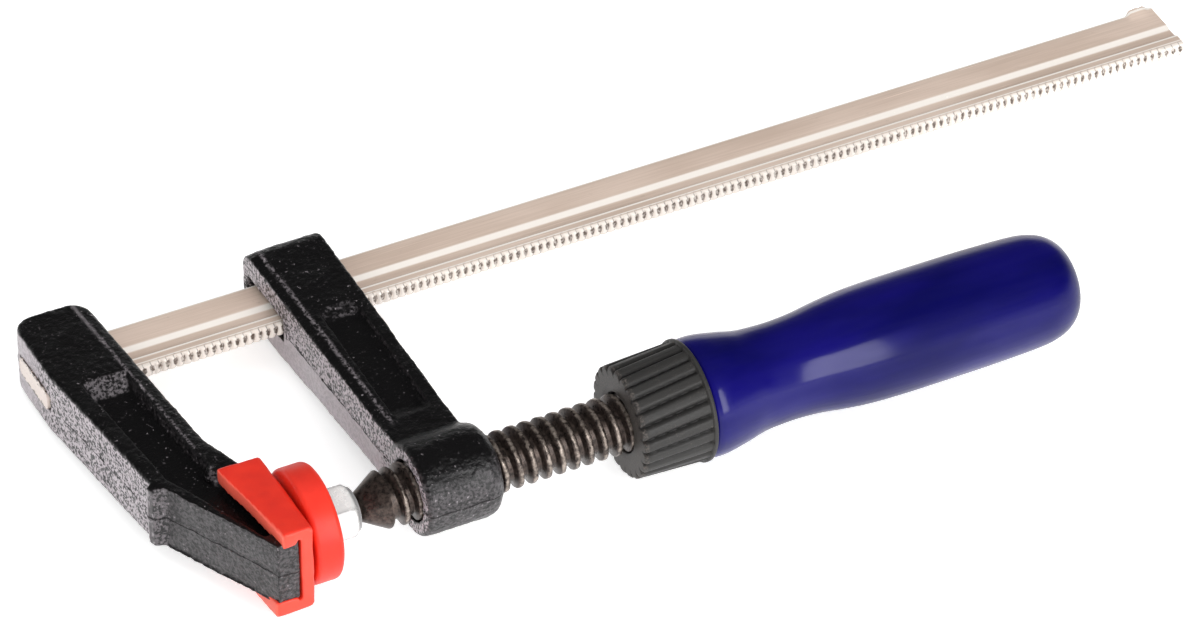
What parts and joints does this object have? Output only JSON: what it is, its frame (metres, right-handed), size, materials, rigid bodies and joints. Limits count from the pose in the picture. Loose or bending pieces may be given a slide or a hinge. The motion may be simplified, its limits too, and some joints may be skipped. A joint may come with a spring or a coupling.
{
  "type": "f-clamp",
  "caption": "Bar clamp with a serrated flat bar, fixed and sliding cast jaws, screw spindle with swivel foot, soft pad caps and a turned wooden handle.",
  "frame": {"origin": "middle of the fixed jaw's clamping face, on the spindle axis", "axes": "+X out of the fixed jaw's clamping face, along the bar to its free end; +Y from the spindle towards the bar; +Z square to the plane of the clamp, up as it lies on a bench"},
  "size_m": [0.3384, 0.1141, 0.0332],
  "materials": {
    "plated_bar": "bright nickel plate with long drawing marks",
    "cast_black": "rough black enamel over a sand casting",
    "spindle_steel": "dark oiled steel with bright thread crests",
    "zinc_plate": "bright zinc plate",
    "soft_red": "soft satin plastic",
    "ferrule_grey": "satin moulded plastic",
    "blue_lacquer": "clear gloss lacquer over stained wood"
  },
  "bodies": {
    "rail": {"bar": "plated_bar", "fixed_jaw": "cast_black", "fixed_jaw_cap": "soft_red"},
    "screw_carrier": {"spindle_ball": "zinc_plate"},
    "sliding_arm": {"sliding_jaw": "cast_black"},
    "screw": {"spindle": "spindle_steel", "ferrule": "ferrule_grey", "handle": "blue_lacquer"},
    "foot": {"swivel_foot": "zinc_plate", "foot_cap": "soft_red"}
  },
  "joints": [
    {"name": "jaw_slide", "type": "slide", "parent": "rail", "child": "screw_carrier", "axis": [1, 0, 0], "range_m": [0, 0.206]},
    {"name": "spindle_turn", "type": "hinge", "parent": "screw_carrier", "child": "screw", "pos_m": [0, 0, 0], "axis": [-1, 0, 0], "range_deg": [-361, 3241]},
    {"name": "screw_feed", "type": "slide", "parent": "screw_carrier", "child": "sliding_arm", "axis": [1, 0, 0], "range_m": [-0.004, 0.036]},
    {"name": "foot_tilt", "type": "hinge", "parent": "screw_carrier", "child": "foot", "pos_m": [0.0126, 0, 0], "axis": [0, 0, 1], "range_deg": [-3, 3]}
  ],
  "couplings": [
    {"joint": "spindle_turn", "follows": "screw_feed", "rad_per_m": 1570.8}
  ]
}
